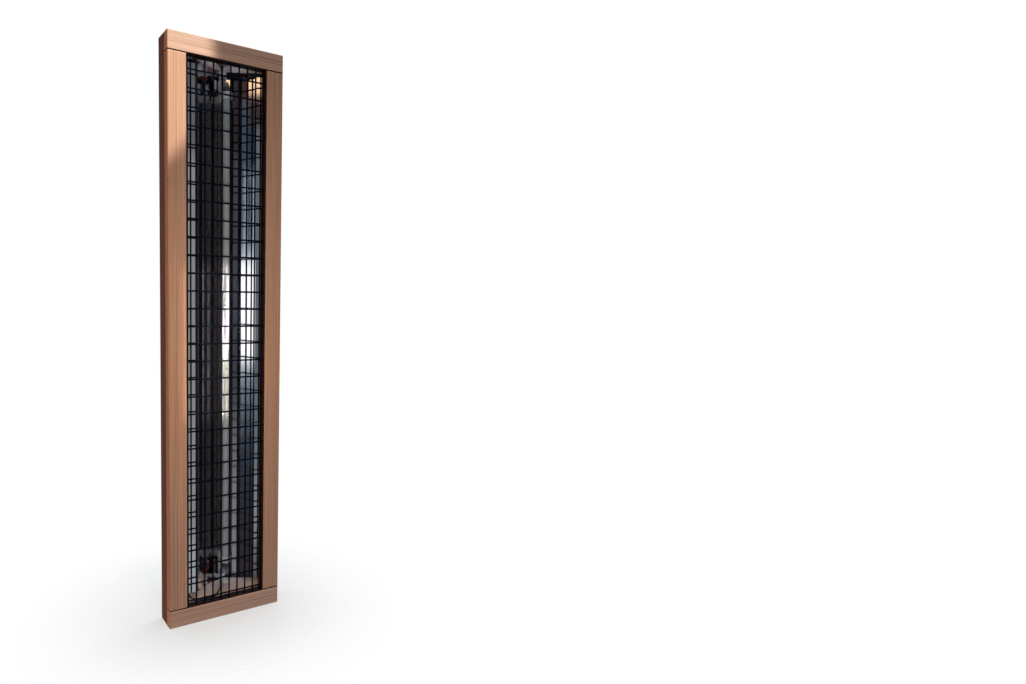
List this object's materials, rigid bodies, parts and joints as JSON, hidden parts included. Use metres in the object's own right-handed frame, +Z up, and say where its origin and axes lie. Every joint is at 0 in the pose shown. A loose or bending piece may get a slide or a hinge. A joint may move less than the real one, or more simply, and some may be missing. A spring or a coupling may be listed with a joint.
{
  "type": "infrared wall panel heater",
  "caption": "Slim wall heater: heating tube in a polished trough reflector inside a cedar casing, behind a lift-off cedar frame with a welded wire grille.",
  "frame": {"origin": "centre of the four wall holes, on the wall plane", "axes": "+X right as seen from the front, +Y into the wall, +Z up; the front faces -Y"},
  "size_m": [0.171, 0.042, 0.838],
  "materials": {
    "cedar_face": "planed cedar, eased edges, clear oil",
    "cedar_casing": "planed cedar, darker heartwood",
    "birch_dowel": "plain turned dowel",
    "grille_black": "black powder coat on welded wire",
    "polished_sheet": "mirror polished sheet",
    "tube_ceramic": "matt pale grey tube with dark specks",
    "core_magnesia": "pressed powder round the winding",
    "bush_ceramic": "matt white insulator",
    "clip_steel": "stamped strip",
    "screw_steel": "zinc plated",
    "terminal_brass": "tinned brass",
    "lead_silicone": "grey heat resistant sleeve",
    "splice_brown": "brown crimp sleeve"
  },
  "bodies": {
    "wall_casing": {"casing_left": "cedar_casing", "casing_right": "cedar_casing", "casing_top": "cedar_casing", "casing_bottom": "cedar_casing", "casing_dowels": "birch_dowel", "locating_pegs": "birch_dowel", "ledger": "cedar_casing", "ledger_screws": "screw_steel", "reflector": "polished_sheet", "reflector_screws": "screw_steel", "heating_tube": "tube_ceramic", "heating_core": "core_magnesia", "end_bush_top": "bush_ceramic", "end_bush_bottom": "bush_ceramic", "terminal_pin_top": "screw_steel", "terminal_pin_bottom": "screw_steel", "terminal_nuts": "screw_steel", "ring_terminals": "terminal_brass", "element_clip_top": "clip_steel", "element_clip_bottom": "clip_steel", "clip_rivets": "clip_steel", "lead_wire_upper": "lead_silicone", "lead_wire_lower": "lead_silicone", "butt_splices": "splice_brown", "wire_clips": "clip_steel", "wire_clip_screws": "screw_steel"},
    "grille_frame": {"top_rail": "cedar_face", "bottom_rail": "cedar_face", "left_stile": "cedar_face", "right_stile": "cedar_face", "corner_dowels": "birch_dowel", "grille_long_wires": "grille_black", "grille_cross_wires": "grille_black"}
  },
  "joints": [
    {"name": "frame_lift_off", "type": "slide", "parent": "wall_casing", "child": "grille_frame", "axis": [0, -1, 0], "range_m": [0, 0.08]}
  ]
}
